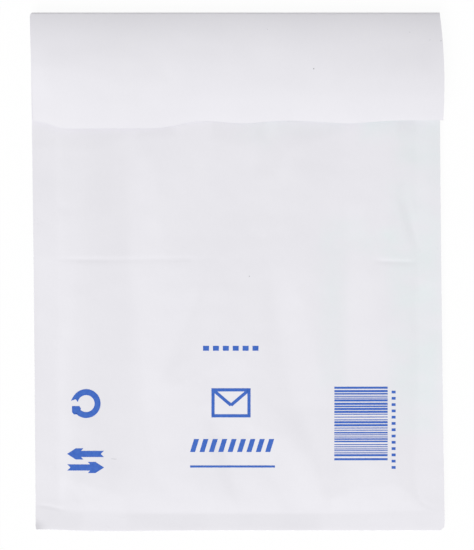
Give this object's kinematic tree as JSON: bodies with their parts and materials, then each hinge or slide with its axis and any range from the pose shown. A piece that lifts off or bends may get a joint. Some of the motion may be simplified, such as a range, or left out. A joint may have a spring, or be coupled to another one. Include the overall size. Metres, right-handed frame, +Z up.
{
  "type": "padded envelope",
  "caption": "White paper mailing envelope padded with bubble film, sealed at its sides and bottom, with a self-seal flap folded loosely over the front.",
  "frame": {"origin": "middle of the envelope's outline, on the surface that it lies on", "axes": "+Y from the bottom seal to the fold of the flap, +X to the right seen from the front, +Z up out of the front"},
  "size_m": [0.1722, 0.215, 0.0074],
  "materials": {
    "cover_paper": "smooth white paper",
    "lining_film": "clear bubble film",
    "strip_adhesive": "tacky hot melt",
    "liner_paper": "siliconed paper"
  },
  "bodies": {
    "root": {"outer_cover": "cover_paper", "bubble_lining": "lining_film", "adhesive_strip": "strip_adhesive", "release_liner": "liner_paper"}
  },
  "joints": []
}
